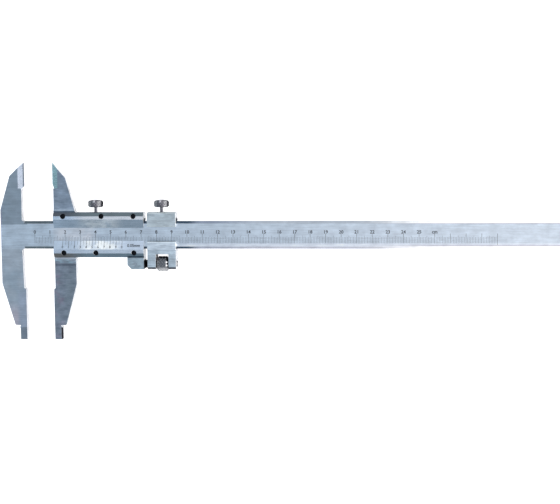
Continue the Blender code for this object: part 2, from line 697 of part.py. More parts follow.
def build():
    """Make every sub-part of the caliper."""
    clear_scene()
    datum = pivot("caliper_datum", DATUM)
    slider = pivot("slider_axis", (READING, 0, 0), datum)
    carriage = pivot("carriage_axis", (0, 0, 0), slider)
    make_beam(datum)
    make_stop_screw(datum)
    make_slider_frame(slider)
    make_front_plates(slider)
    make_plate_screws(slider)
    make_lead_screw(slider)
    make_gib(slider, "slider_gib_spring", SLIDER_LEFT, SLIDER_RIGHT)
    make_clamp_screw(slider, "slider_clamp_screw", SLIDER_CLAMP_X)
    make_carriage(carriage)
    make_nut(carriage)
    make_gib(carriage, "carriage_gib_spring", CARRIAGE_LEFT, CARRIAGE_RIGHT)
    make_clamp_screw(carriage, "carriage_clamp_screw", CARRIAGE_CLAMP_X)


build()
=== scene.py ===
"""Looks of the vernier caliper: ground and satin steels, engraved scales, knurled and threaded
pieces, and the studio round them.

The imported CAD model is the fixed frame. Places on the caliper are millimetres in its drawing
frame: x from the fixed measuring face, y from the beam's centre line and z from the slider's
back. Places on the slider and the carriage count x from the moving measuring face instead.
"""

import math

import bmesh
import bpy
from mathutils import Matrix, Vector


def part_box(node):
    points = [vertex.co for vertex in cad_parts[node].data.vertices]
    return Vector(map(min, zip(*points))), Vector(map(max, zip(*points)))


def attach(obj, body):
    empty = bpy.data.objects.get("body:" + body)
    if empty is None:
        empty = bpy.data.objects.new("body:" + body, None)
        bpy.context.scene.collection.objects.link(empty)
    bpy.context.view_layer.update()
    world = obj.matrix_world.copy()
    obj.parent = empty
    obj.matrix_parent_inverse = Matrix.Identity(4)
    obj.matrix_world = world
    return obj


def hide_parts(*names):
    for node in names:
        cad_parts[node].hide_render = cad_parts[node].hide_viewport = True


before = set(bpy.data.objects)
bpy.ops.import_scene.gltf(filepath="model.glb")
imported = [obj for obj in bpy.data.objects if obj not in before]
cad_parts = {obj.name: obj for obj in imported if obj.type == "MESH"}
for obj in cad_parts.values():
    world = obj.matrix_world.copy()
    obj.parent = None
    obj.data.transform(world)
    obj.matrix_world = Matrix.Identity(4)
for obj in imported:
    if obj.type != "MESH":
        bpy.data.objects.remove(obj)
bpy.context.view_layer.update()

MILLIMETRE = 0.001
PER_METRE = 1000.0

# The drawing frame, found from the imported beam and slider.
JAW_HEEL = 15.75
BLADE_TIP = 47.5
beam_low, beam_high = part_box("beam")
slider_low, slider_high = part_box("slider_frame")
DATUM = Vector((beam_low.x + JAW_HEEL * MILLIMETRE, beam_high.y - BLADE_TIP * MILLIMETRE, 0.0))
READING = (slider_low.x - DATUM.x) * PER_METRE
BEAM_FRONT = beam_high.z * PER_METRE

# Main scale: x of its zero line, and y of the feet and tops of its lines and numbers.
MAIN_ZERO = 6.7
MAIN_LAST = 300
LAST_NUMBERED = 25
TICK_FOOT = -5.4
MILLIMETRE_TOP = -1.3
FIVE_TOP = -0.45
CENTIMETRE_TOP = 0.95
LAST_FOOT = -6.5
NUMBER_FOOT = 1.0
NUMBER_HEIGHT = 2.25
FINE_LINE = 0.13
BOLD_LINE = 0.21
STROKE_GROWTH = 0.024

# Vernier: 20 divisions of 1.95 mm on the bevelled plate.
VERNIER_ZERO = 6.7
VERNIER_DIVISIONS = 20
VERNIER_STEP = 1.95
VERNIER_EDGE = -3.75
VERNIER_SHORT_FOOT = -6.2
VERNIER_LONG_FOOT = -7.0
VERNIER_NUMBER_FOOT = -8.4
VERNIER_NUMBER_HEIGHT = 1.55
UNIT_PLACE = 53.4
UNIT_FOOT = -7.6
UNIT_HEIGHT = 1.95
BEVEL_START = 7.65
BEVEL_END = -9.2
FRONT_FACE = 10.0

# The black filling of an engraved line, from its bottom to its crown.
FILL_BOTTOM = -0.03
FILL_TOP = 0.012

# Camera: it looks almost straight down at the scale side.
CAMERA_PLACE = (197.5, 49.1, 657.25)
CAMERA_TURN = (("Y", 2.67), ("X", -5.28), ("Z", -0.21))
CAMERA_LENS = 64.85
CAMERA_SENSOR = 36.0


# --------------------------------------------------------------------------------------------
# Meshes


def at(x, y, z):
    """Return a place on the caliper, given in millimetres, in metres of the frame."""
    return DATUM + Vector((x, y, z)) * MILLIMETRE


def piece(name, bm, material, body, replaced=None, smooth_angle=None):
    """Turn a bmesh in millimetres of the drawing frame into a piece that rides on a body."""
    bmesh.ops.recalc_face_normals(bm, faces=bm.faces)
    to_metres = Matrix.Translation(DATUM) @ Matrix.Scale(MILLIMETRE, 4)
    bmesh.ops.transform(bm, matrix=to_metres, verts=bm.verts)
    mesh = bpy.data.meshes.new(name)
    bm.to_mesh(mesh)
    bm.free()
    mesh.materials.append(material)
    thing = bpy.data.objects.new(name, mesh)
    bpy.context.scene.collection.objects.link(thing)
    if smooth_angle:
        mesh.shade_smooth()
        mesh.set_sharp_from_angle(angle=math.radians(smooth_angle))
    if replaced:
        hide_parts(replaced)
    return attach(thing, body)


def add_block(bm, lay, left, right, foot, top):
    """Add the filling of one engraved line, laid on a surface."""
    corners = [(left, foot), (right, foot), (right, top), (left, top)]
    low = [bm.verts.new(lay(x, y, FILL_BOTTOM)) for x, y in corners]
    high = [bm.verts.new(lay(x, y, FILL_TOP)) for x, y in corners]
    bm.faces.new(low)
    bm.faces.new(high)
    for index in range(4):
        following = (index + 1) % 4
        bm.faces.new((low[index], low[following], high[following], high[index]))


def lettering(words):
    """Return a solid mesh of a number or a unit in the built-in font, one unit thick."""
    curve = bpy.data.curves.new("lettering", "FONT")
    curve.body = words
    curve.align_x = "CENTER"
    curve.resolution_u = 3
    curve.extrude = 0.5
    curve.offset = STROKE_GROWTH
    holder = bpy.data.objects.new("lettering", curve)
    bpy.context.scene.collection.objects.link(holder)
    bpy.context.view_layer.update()
    shown = holder.evaluated_get(bpy.context.evaluated_depsgraph_get())
    mesh = bpy.data.meshes.new_from_object(shown)
    bpy.data.objects.remove(holder)
    bpy.data.curves.remove(curve)
    return mesh


def add_number(bm, lay, words, centre, foot, height, digit_height):
    """Add a number or unit, centred at x and standing on y, laid on a surface."""
    mesh = lettering(words)
    scale = height / digit_height
    places = []
    for vertex in mesh.vertices:
        x, y, z = vertex.co
        level = FILL_TOP if z > 0 else FILL_BOTTOM
        places.append(bm.verts.new(lay(centre + x * scale, foot + y * scale, level)))
    for polygon in mesh.polygons:
        bm.faces.new([places[index] for index in polygon.vertices])
    bpy.data.meshes.remove(mesh)


def turned(rows, sides, axis, centre, relief=None):
    """Spin (radius, distance) rows about an axis through a centre; relief lowers the surface."""
    bm = bmesh.new()
    rings = []
    for radius, along in rows:
        ring = []
        for side in range(sides if radius > 0 else 1):
            angle = 2 * math.pi * side / sides
            out = radius - (relief(angle, along, radius) if relief and radius > 0 else 0)
            across = (out * math.cos(angle), out * math.sin(angle))
            if axis == "X":
                point = (along, across[0], across[1])
            elif axis == "Y":
                point = (across[0], along, across[1])
            else:
                point = (across[0], across[1], along)
            ring.append(bm.verts.new(Vector(point) + Vector(centre)))
        rings.append(ring)
    for near, far in zip(rings, rings[1:]):
        for side in range(sides):
            after = (side + 1) % sides
            corners = [near[side % len(near)], near[after % len(near)]]
            corners += [far[after % len(far)], far[side % len(far)]]
            bm.faces.new(list(dict.fromkeys(corners)))
    return bm


def block(low, high, turn=0.0):
    """Return a box between two corners, turned about Z round its middle."""
    bm = bmesh.new()
    bmesh.ops.create_cube(bm, size=1.0)
    low = Vector(low)
    high = Vector(high)
    size = high - low
    middle = Matrix.Translation((low + high) / 2)
    matrix = middle @ Matrix.Rotation(turn, 4, "Z") @ Matrix.Diagonal((*size, 1.0))
    bmesh.ops.transform(bm, matrix=matrix, verts=bm.verts)
    return bm


def without(bm, cutter):
    """Return a bmesh with another cut out of it."""
    holders = []
    for part in (bm, cutter):
        mesh = bpy.data.meshes.new("cut")
        bmesh.ops.recalc_face_normals(part, faces=part.faces)
        part.to_mesh(mesh)
        part.free()
        holder = bpy.data.objects.new("cut", mesh)
        bpy.context.scene.collection.objects.link(holder)
        holders.append(holder)
    modifier = holders[0].modifiers.new("cut", "BOOLEAN")
    modifier.object = holders[1]
    modifier.solver = "EXACT"
    bpy.context.view_layer.update()
    shown = holders[0].evaluated_get(bpy.context.evaluated_depsgraph_get())
    result = bmesh.new()
    result.from_mesh(shown.to_mesh())
    shown.to_mesh_clear()
    for holder in holders:
        mesh = holder.data
        bpy.data.objects.remove(holder)
        bpy.data.meshes.remove(mesh)
    return result


def soften(name, width):
    """Round a CAD node's edges a little with modifiers, which leave its own mesh alone."""
    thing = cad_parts[name]
    weld = thing.modifiers.new("join", "WELD")
    weld.merge_threshold = 1e-6
    bevel = thing.modifiers.new("edges", "BEVEL")
    bevel.width = width * MILLIMETRE
    bevel.segments = 2
    bevel.limit_method = "ANGLE"
    bevel.angle_limit = math.radians(20)
    bevel.use_clamp_overlap = True
    normals = thing.modifiers.new("normals", "WEIGHTED_NORMAL")
    normals.keep_sharp = False


# --------------------------------------------------------------------------------------------
# Metals


class Finish:
    """A procedural metal in the making. Its x, y and z are millimetres from its origin."""

    def __init__(self, name, origin_x, colour, roughness):
        """Start a metal whose x counts from origin_x in the drawing frame."""
        self.material = bpy.data.materials.new(name)
        self.material.use_nodes = True
        self.tree = self.material.node_tree
        self.shader = self.tree.nodes["Principled BSDF"]
        self.shader.inputs["Metallic"].default_value = 1.0
        corner = DATUM * PER_METRE + Vector((origin_x, 0, 0))
        place = self.add("TexCoord").outputs["Object"]
        place = self.add("VectorMath", {0: place, 1: (PER_METRE,) * 3}, operation="MULTIPLY")
        place = self.add("VectorMath", {0: place.outputs[0], 1: corner}, operation="SUBTRACT")
        self.place = place.outputs[0]
        self.x, self.y, self.z = self.add("SeparateXYZ", {0: self.place}).outputs
        normal = self.add("TexCoord").outputs["Normal"]
        rightwards, _, upwards = self.add("SeparateXYZ", {0: normal}).outputs
        self.side = self.step(self.math("ABSOLUTE", upwards), 0.55, 0.35)
        self.right_side = self.both(self.side, self.step(rightwards, 0.2, 0.5))
        self.colour = (*colour, 1.0)
        self.roughness = roughness

    def add(self, kind, inputs=None, **settings):
        """Add a node, set its properties and fill its inputs with values or links."""
        made = self.tree.nodes.new("ShaderNode" + kind)
        for key, value in settings.items():
            setattr(made, key, value)
        for key, value in (inputs or {}).items():
            if isinstance(value, bpy.types.NodeSocket):
                self.tree.links.new(value, made.inputs[key])
            else:
                made.inputs[key].default_value = value
        return made

    def math(self, operation, first, second=0.0):
        """Return the result of a math node."""
        return self.add("Math", {0: first, 1: second}, operation=operation).outputs[0]

    def step(self, value, start, end, low=0.0, high=1.0):
        """Return a smooth step from low at start to high at end."""
        inputs = {"Value": value, "From Min": start, "From Max": end, "To Min": low, "To Max": high}
        return self.add("MapRange", inputs, interpolation_type="SMOOTHSTEP").outputs[0]

    def span(self, value, low, high, soft):
        """Return 1 between low and high and 0 outside, with soft borders."""
        rise = self.step(value, low - soft / 2, low + soft / 2)
        fall = self.step(value, high - soft / 2, high + soft / 2, 1.0, 0.0)
        return self.both(rise, fall)

    def noise(self, stretch, detail=4.0, roughness=0.55, offset=0.0):
        """Return noise whose grain is stretch millimetres long in x, y and z."""
        scale = tuple(1.0 / length for length in stretch)
        scaled = self.add("VectorMath", {0: self.place, 1: scale}, operation="MULTIPLY")
        moved = self.add("VectorMath", {0: scaled.outputs[0], 1: (offset,) * 3}, operation="ADD")
        inputs = {"Vector": moved.outputs[0], "Scale": 1.0}
        inputs.update({"Detail": detail, "Roughness": roughness})
        return self.add("TexNoise", inputs).outputs["Fac"]

    def both(self, first, second):
        """Return the mask that two masks share."""
        return self.math("MULTIPLY", first, second)

    def paint(self, mask, colour, roughness=None):
        """Lay another colour, and roughness, over the metal where the mask is 1."""
        inputs = {0: mask, 6: self.colour, 7: (*colour, 1.0)}
        self.colour = self.add("Mix", inputs, data_type="RGBA").outputs[2]
        if roughness is not None:
            inputs = {0: mask, 2: self.roughness, 3: roughness}
            self.roughness = self.add("Mix", inputs, data_type="FLOAT").outputs[0]

    def shade(self, factor):
        """Multiply the colour by a value that changes over the surface."""
        inputs = {0: 1.0, 6: self.colour, 7: factor}
        mixed = self.add("Mix", inputs, data_type="RGBA", blend_type="MULTIPLY")
        self.colour = mixed.outputs[2]

    def vary(self, noise, contrast):
        """Multiply the colour by 1 plus or minus a contrast that follows a noise."""
        inputs = {"Value": noise, "From Min": 0.25, "From Max": 0.75}
        inputs.update({"To Min": 1 - contrast, "To Max": 1 + contrast})
        self.shade(self.add("MapRange", inputs).outputs[0])

    def matt_sides(self):
        """Make the faces that stand upright matt, and paint those that look right pale: a painted
        highlight.
        """
        self.paint(self.side, SIDE_TONE, 0.45)
        self.paint(self.right_side, LIT_SIDE_TONE, 0.5)
        metallic = self.step(self.right_side, 0.0, 1.0, 1.0, 0.4)
        self.tree.links.new(metallic, self.shader.inputs["Metallic"])

    def lighten(self, mask, strength):
        """Make an end face that stands in a narrow gap glow faintly: painted light where little
        light falls.
        """
        glow = self.math("MULTIPLY", mask, strength)
        self.shader.inputs["Emission Color"].default_value = (*WHITE, 1.0)
        self.tree.links.new(glow, self.shader.inputs["Emission Strength"])

    def done(self, relief, height, roughness_noise, roughness_change):
        """Connect colour, roughness and relief, and return the material."""
        tree = self.tree
        tree.links.new(self.colour, self.shader.inputs["Base Color"])
        change = self.step(roughness_noise, 0.3, 0.7, -roughness_change, roughness_change)
        total = self.math("ADD", change, self.roughness)
        tree.links.new(total, self.shader.inputs["Roughness"])
        inputs = {"Height": relief, "Distance": height * MILLIMETRE, "Strength": 1.0}
        bump = self.add("Bump", inputs)
        tree.links.new(bump.outputs[0], self.shader.inputs["Normal"])
        return self.material


def ground(finish, stretch, contrast=0.1, relief=0.004, roughness_change=0.06):
    """Give a finish grinding lines, faint blotches and a matching relief, and return it."""
    lines = finish.noise(stretch, detail=5.0, roughness=0.7)
    blotches = finish.noise((7.0, 5.0, 7.0), detail=4.0, offset=31.0)
    finish.vary(lines, contrast)
    finish.vary(blotches, contrast)
    return finish.done(lines, relief, lines, roughness_change)


# Grain of metal ground along the beam, and tones that several metals share.
ALONG_X = (14.0, 0.5, 0.5)
SIDE_TONE = (0.50, 0.55, 0.60)
# Pale tone of the faces that look right: a painted highlight.
LIT_SIDE_TONE = (0.96, 0.97, 0.98)
# Strength of the painted glow on the slider's end face.
END_GLOW = 0.42
HEAD_TONE = (0.153, 0.15, 0.168)
NUT_TONE = (0.14, 0.15, 0.165)
# Near black of painted shade on the knurled pieces.
PAINTED_SHADE_BLACK = (0.02, 0.02, 0.025)
# Tone of the dark lines along the far chamfers: painted shade.
EDGE_SHADE_LINE = (0.36, 0.38, 0.48)
WHITE = (1.0, 1.0, 1.0)

# Where a knife jaw's bright blade starts, with a soft border.
BLADE_HEEL = (30.3, 30.5)


def beam_metal():
    """Return the beam's satin steel with the darker ground jaws and bright knife edge, a painted
    glare near the jaws and painted reflections on its chamfers.
    """
    finish = Finish("beam_satin_steel", 0.0, (0.66, 0.75, 0.82), 0.34)
    # A pale cloudy patch near the jaws: a painted glare.
    painted_glare = finish.both(finish.span(finish.x, 20.0, 46.0, 8.0), finish.noise((5.0, 3.0, 5.0)))
    finish.paint(painted_glare, (0.98, 0.96, 0.96))
    low_half = finish.both(finish.step(finish.y, -4.5, -6.5), finish.step(finish.x, 85.0, 110.0))
    finish.paint(low_half, (0.85, 0.91, 0.97))
    paint_fixed_jaws(finish)
    far = finish.step(finish.x, 212.0, 280.0)
    paint_far_borders(finish, far)
    paint_beam_chamfers(finish, far)
    finish.matt_sides()
    return ground(finish, ALONG_X, contrast=0.16)


def paint_fixed_jaws(finish):
    """Give the fixed jaws their tones: knife jaw and blade, measuring jaw, its face and nib."""
    left_of_face = finish.step(finish.x, 1.6, 2.2, 1.0, 0.0)
    upper = finish.both(left_of_face, finish.step(finish.y, 6.6, 7.2))
    lower = finish.both(left_of_face, finish.step(finish.y, -7.5, -10.5))
    finish.paint(upper, (0.355, 0.425, 0.48), 0.38)
    finish.paint(lower, (0.50, 0.56, 0.61), 0.38)
    blotch = finish.step(finish.noise((9.0, 14.0, 9.0), offset=3.0), 0.35, 0.6)
    blotched = finish.both(finish.both(lower, blotch), finish.step(finish.y, -14.0, -22.0))
    finish.paint(blotched, (0.44, 0.52, 0.58))
    finish.paint(finish.step(finish.y, -42.0, -54.0), (0.59, 0.56, 0.61))
    blade = finish.both(finish.span(finish.x, -3.75, 1.0, 0.15), finish.step(finish.y, *BLADE_HEEL))
    finish.paint(blade, (0.37, 0.43, 0.51), 0.28)
    measuring = finish.both(finish.step(finish.x, -7.0, -3.5), finish.step(finish.y, -34.0, -40.0))
    finish.paint(measuring, (0.46, 0.52, 0.60), 0.34)
    nib = finish.step(finish.y, -60.6, -61.2)
    finish.paint(nib, (0.28, 0.33, 0.38), 0.34)


def paint_far_borders(finish, far):
    """Paint thin lines beside the chamfers where the beam is far to the right: dark lines of
    painted shade and a white line of painted highlight.
    """
    finish.paint(finish.both(finish.span(finish.y, 7.1, 7.5, 0.1), far), EDGE_SHADE_LINE)
    finish.paint(finish.both(finish.span(finish.y, -7.5, -6.6, 0.1), far), WHITE)
    finish.paint(finish.both(finish.span(finish.y, -6.8, -6.4, 0.1), far), EDGE_SHADE_LINE)


def paint_beam_chamfers(finish, far):
    """Turn both long chamfers from dark at the left through grey to white far to the right: painted
    reflections of the surroundings.
    """
    side = finish.math("ABSOLUTE", finish.y)
    edge = finish.both(finish.step(side, 7.4, 7.5), finish.step(finish.x, -1.2, 0.2))
    edge = finish.both(edge, finish.step(finish.z, 7.26, 7.2))
    jaw_end = finish.step(finish.x, 19.0, 17.5)
    middle = finish.step(finish.x, 106.0, 117.0)
    pale = finish.step(finish.x, 118.0, 165.0)
    # Each tone below is a painted reflection on the chamfers.
    upper_tones = (1.0, (0.043, 0.067, 0.10), (0.23, 0.27, 0.35), (0.36, 0.40, 0.46))
    lower_tones = (-1.0, (0.04, 0.06, 0.09), (0.30, 0.33, 0.40), (0.43, 0.45, 0.52))
    for sign, near_tone, middle_tone, pale_tone in (upper_tones, lower_tones):
        strip = finish.both(edge, finish.step(finish.y, 0.0, sign))
        finish.paint(strip, near_tone, 0.3)
        finish.paint(finish.both(strip, jaw_end), (0.085, 0.11, 0.13))
        finish.paint(finish.both(strip, middle), middle_tone, 0.4)
        finish.paint(finish.both(strip, pale), pale_tone, 0.4)
        finish.paint(finish.both(strip, far), WHITE, 0.4)


def slider_metal():
    """Return the slider's ground steel: knife jaw, measuring jaw with its nib's side painted near
    black as a dark reflection, and lug.
    """
    finish = Finish("slider_ground_steel", READING, (0.40, 0.46, 0.54), 0.36)
    paint_moving_knife(finish)
    paint_moving_jaw(finish)
    lug = finish.both(finish.step(finish.x, 44.0, 45.0), finish.step(finish.y, -13.0, -14.0))
    finish.paint(lug, (0.46, 0.56, 0.61), 0.36)
    finish.matt_sides()
    paint_end_face(finish)
    # The nib's side is painted near black: a painted dark reflection.
    nib_side_dark_reflection = finish.both(finish.step(finish.y, -60.9, -61.1), finish.step(finish.x, 3.95, 4.1))
    nib_side_dark_reflection = finish.both(nib_side_dark_reflection, finish.step(finish.z, 7.24, 7.1))
    finish.paint(nib_side_dark_reflection, (0.015, 0.015, 0.02), 0.35)
    return ground(finish, (5.0, 1.0, 0.6), contrast=0.25)


def paint_moving_knife(finish):
    """Give the moving knife jaw its tones, with a dark line of painted shade at its root."""
    finish.paint(finish.step(finish.y, 14.7, 15.0), (0.33, 0.40, 0.48), 0.36)
    # Painted shade along the jaw's root.
    finish.paint(finish.span(finish.y, 14.7, 15.9, 0.3), (0.08, 0.11, 0.15), 0.36)
    blade = finish.both(finish.span(finish.x, -1.0, 3.75, 0.15), finish.step(finish.y, *BLADE_HEEL))
    finish.paint(blade, (0.30, 0.43, 0.48), 0.3)


def paint_moving_jaw(finish):
    """Give the moving measuring jaw its mottled tones, with painted highlights and then a band of
    painted shade at its root.
    """
    finish.paint(finish.step(finish.y, -14.4, -16.0), (0.275, 0.32, 0.375), 0.36)
    below = finish.step(finish.y, -19.0, -24.0)
    mottle = finish.step(finish.noise((5.0, 4.0, 5.0), offset=11.0), 0.3, 0.6)
    right_half = finish.both(below, finish.both(finish.step(finish.x, 5.5, 8.5), mottle))
    finish.paint(right_half, (0.28, 0.335, 0.38), 0.36)
    brown = finish.both(below, finish.step(finish.noise((6.0, 5.0, 6.0), offset=23.0), 0.5, 0.7))
    finish.paint(finish.both(brown, finish.step(finish.x, 8.5, 5.0)), (0.33, 0.32, 0.39), 0.36)
    # Bright patches at the jaw's root: painted highlights.
    glint_noise = finish.noise((6.0, 2.2, 6.0), offset=7.0)
    root = finish.both(finish.span(finish.y, -18.4, -14.6, 0.8), finish.step(glint_noise, 0.45, 0.65))
    finish.paint(root, (0.36, 0.49, 0.55))
    # Dark band below them: painted shade.
    finish.paint(finish.span(finish.y, -20.2, -18.9, 0.6), (0.17, 0.20, 0.24))


def paint_end_face(finish):
    """Make the end face above the lead screw glow faintly as painted light, and paint it dark
    beside the lead screw as painted shade.
    """
    end_face = finish.both(finish.right_side, finish.step(finish.x, 58.7, 58.9))
    finish.lighten(finish.both(end_face, finish.step(finish.y, -16.4, -15.8)), END_GLOW)
    # Painted shade on the end face beside the lead screw.
    shade_beside_thread = finish.both(end_face, finish.step(finish.y, -16.0, -16.6))
    finish.paint(shade_beside_thread, (0.15, 0.15, 0.17), 0.45)


def plate_metal(name, bevels, painted_glare, lands, edges, land_start, edge_start):
    """Return a front plate's steel; bevel, land and chamfer each turn from one tone to another as
    painted reflections, with clouds of painted glare.
    """
    finish = Finish(name, READING, bevels[0], 0.3)
    side = finish.math("ABSOLUTE", finish.y)
    rightwards = finish.step(finish.x, 8.0, 24.0)
    finish.paint(rightwards, bevels[1])
    # Clouds of painted glare.
    clouds = finish.step(finish.noise((5.0, 3.0, 5.0)), 0.25, 0.6)
    finish.paint(finish.both(finish.span(finish.x, 20.0, 43.0, 11.0), clouds), painted_glare)
    # Land and chamfer tones: painted reflections, dark on the chamfers.
    for start, tones, roughness in ((land_start, lands, 0.28), (edge_start, edges, 0.35)):
        zone = finish.step(side, start - 0.05, start + 0.05)
        finish.paint(zone, tones[0], roughness)
        finish.paint(finish.both(zone, rightwards), tones[1], roughness)
    finish.matt_sides()
    return ground(finish, ALONG_X, contrast=0.12)


def carriage_metal():
    """Return the carriage's ground steel: its paler land, the chamfer under its legs painted dark
    as a dark reflection, and painted shade along the window's edge and the legs' step.
    """
    finish = Finish("carriage_ground_steel", READING, (0.595, 0.67, 0.69), 0.36)
    land = finish.step(finish.y, -4.0, -4.2)
    legs = finish.step(finish.y, -9.7, -9.8)
    chamfer = finish.step(finish.y, -20.75, -20.9)
    window_edge_shadow = finish.span(finish.y, -4.3, -3.5, 0.1)
    legs_step_shade = finish.span(finish.y, -10.0, -9.7, 0.15)
    finish.paint(land, (0.745, 0.83, 0.885), 0.36)
    finish.paint(legs, (0.62, 0.72, 0.77), 0.36)
    # The chamfer under the legs: a painted dark reflection.
    finish.paint(chamfer, (0.05, 0.06, 0.08), 0.36)
    finish.matt_sides()
    # Painted shadow along the window's edge and painted shade along the legs' step.
    finish.paint(window_edge_shadow, (0.22, 0.26, 0.30))
    finish.paint(legs_step_shade, (0.40, 0.48, 0.54))
    return ground(finish, (8.0, 1.0, 0.6), contrast=0.25)


def knurled_metal(node, dark_right):
    """Return turned steel with pale bands of painted highlight beside the middle, and painted black
    shade beyond a distance at its right.
    """
    low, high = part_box(node)
    middle = ((low + high) / 2 - DATUM) * PER_METRE
    base = NUT_TONE if node == "adjusting_nut" else HEAD_TONE
    finish = Finish(node + "_steel", middle.x, base, 0.3)
    # Pale bands beside the middle: painted highlights.
    finish.paint(finish.span(finish.x, -4.6, -2.4, 1.2), (0.30, 0.30, 0.31))
    finish.paint(finish.span(finish.x, 2.0, dark_right, 0.8), (0.27, 0.27, 0.28))
    # Painted black shade at the right.
    finish.paint(finish.step(finish.x, dark_right, dark_right + 0.4), PAINTED_SHADE_BLACK, 0.4)
    if node == "adjusting_nut":
        wear_nut(finish, middle.y)
    else:
        polish_head(finish, (high.y - DATUM.y) * PER_METRE)
    return ground(finish, (1.2, 1.2, 1.2), contrast=0.14)


def polish_head(finish, top):
    """Paint a bright patch on top of a clamp screw's head: a painted glint."""
    rim = finish.step(finish.y, top - 2.4, top - 1.4)
    finish.paint(finish.both(finish.span(finish.x, -0.9, 0.6, 0.5), rim), (0.62, 0.61, 0.63))


def wear_nut(finish, middle):
    """Paint shade on the nut's upper rim and left edge, and make its lower rim and two spots bright
    as painted highlights and glints.
    """
    finish.paint(finish.step(finish.y, middle + 3.8, middle + 4.3), PAINTED_SHADE_BLACK)
    finish.paint(finish.step(finish.y, middle - 1.5, middle - 3.5), (0.54, 0.54, 0.54))
    # Patchy painted shade along the left edge.
    worn = finish.step(finish.noise((1.4, 1.0, 1.4), detail=2.0, offset=5.0), 0.47, 0.53)
    finish.paint(finish.both(finish.step(finish.x, -3.0, -3.5), worn), PAINTED_SHADE_BLACK)
    # Two painted glints at the right.
    upper_spot = finish.span(finish.y, middle + 0.9, middle + 1.9, 0.3)
    lower_spot = finish.span(finish.y, middle - 1.3, middle - 0.3, 0.3)
    spots = finish.math("ADD", upper_spot, lower_spot)
    finish.paint(finish.both(finish.span(finish.x, 2.6, 3.5, 0.3), spots), (0.9, 0.9, 0.9))


def plain_metal(name, colour, roughness, stretch):
    """Return a ground steel of one colour."""
    return ground(Finish(name, READING, colour, roughness), stretch, 0.05)


def black_metal(name, colour, roughness, bright_from=None):
    """Return black oxide with worn patches, and bare steel beyond a distance along x."""
    finish = Finish(name, READING, colour, roughness)
    wear = finish.noise((0.8, 0.8, 0.8), detail=4.0)
    finish.paint(finish.step(wear, 0.62, 0.8), (0.16, 0.15, 0.14))
    if bright_from:
        finish.paint(finish.step(finish.x, bright_from, bright_from + 0.1), (0.42, 0.42, 0.42), 0.3)
    return finish.done(wear, 0.006, wear, 0.08)


def ink():
    """Return the matt black filling of the engraved lines, a little worn."""
    finish = Finish("scale_filling", 0.0, (0.015, 0.018, 0.025), 0.6)
    finish.shader.inputs["Metallic"].default_value = 0.0
    wear = finish.noise((0.5, 0.5, 0.5), detail=3.0)
    finish.paint(finish.step(wear, 0.6, 0.8), (0.10, 0.11, 0.13))
    return finish.done(wear, 0.004, wear, 0.08)


# --------------------------------------------------------------------------------------------
# Scales


def lay_on_beam(x, y, height):
    """Return a place on the beam's front, height above it."""
    return (x, y, BEAM_FRONT + height)


def lay_on_vernier(x, y, height):
    """Return a place on the vernier plate's bevel, height above it."""
    run = VERNIER_EDGE - BEVEL_END
    rise = FRONT_FACE - BEVEL_START
    length = math.hypot(run, rise)
    z = BEVEL_START + (VERNIER_EDGE - y) * rise / run
    return (READING + x, y + height * rise / length, z + height * run / length)


def digit_height():
    """Return how tall the built-in font's zero is."""
    mesh = lettering("0")
    heights = [vertex.co.y for vertex in mesh.vertices]
    bpy.data.meshes.remove(mesh)
    return max(heights) - min(heights)


def make_main_scale(material):
    """Engrave the beam: a line for each millimetre, with centimetres numbered."""
    lines = bmesh.new()
    for mark in range(MAIN_LAST + 1):
        x = MAIN_ZERO + mark
        top = CENTIMETRE_TOP if mark % 10 == 0 else FIVE_TOP if mark % 5 == 0 else MILLIMETRE_TOP
        width = BOLD_LINE if mark % 10 == 0 else FINE_LINE
        foot = LAST_FOOT if mark == MAIN_LAST else TICK_FOOT
        add_block(lines, lay_on_beam, x - width / 2, x + width / 2, foot, top)
    piece("main_scale_lines", lines, material, "beam")
    numbers = bmesh.new()
    digit = digit_height()
    for mark in range(LAST_NUMBERED + 2):
        words = "cm" if mark > LAST_NUMBERED else str(mark)
        x = MAIN_ZERO + 10 * mark
        add_number(numbers, lay_on_beam, words, x, NUMBER_FOOT, NUMBER_HEIGHT, digit)
    piece("main_scale_numbers", numbers, material, "beam")


def make_vernier_scale(material):
    """Engrave the vernier plate: 20 divisions, numbered at every second line."""
    lines = bmesh.new()
    numbers = bmesh.new()
    digit = digit_height()
    for mark in range(VERNIER_DIVISIONS + 1):
        x = VERNIER_ZERO + mark * VERNIER_STEP
        numbered = mark % 2 == 0
        width = BOLD_LINE if numbered else FINE_LINE
        foot = VERNIER_LONG_FOOT if numbered else VERNIER_SHORT_FOOT
        add_block(lines, lay_on_vernier, x - width / 2, x + width / 2, foot, VERNIER_EDGE - 0.05)
        if numbered:
            words = str(mark // 2 % 10)
            height = VERNIER_NUMBER_HEIGHT
            add_number(numbers, lay_on_vernier, words, x, VERNIER_NUMBER_FOOT, height, digit)
    add_number(numbers, lay_on_vernier, "0.05mm", UNIT_PLACE, UNIT_FOOT, UNIT_HEIGHT, digit)
    piece("vernier_lines", lines, material, "slider")
    piece("vernier_numbers", numbers, material, "slider")


# --------------------------------------------------------------------------------------------
# Turned pieces

ROUND_SIDES = 48
KNURLED_SIDES = 160
ROUND_STEPS = 4
KNURL_LEAD = 1.9
LEAD_PITCH = 0.75
CLAMP_PITCH = 0.5

# Distances from a clamp screw's tip to its neck and its head, of the lead screw's thread past
# the nut's middle, and of its bright journal from the moving measuring face.
CLAMP_NECK = 4.95
CLAMP_HEAD = 8.15
THREAD_PAST_NUT = 1.7
JOURNAL_START = 74.0

# Where the painted black shade starts, to the right of the middle.
HEAD_SHADE_START = 3.9
NUT_SHADE_START = 2.7


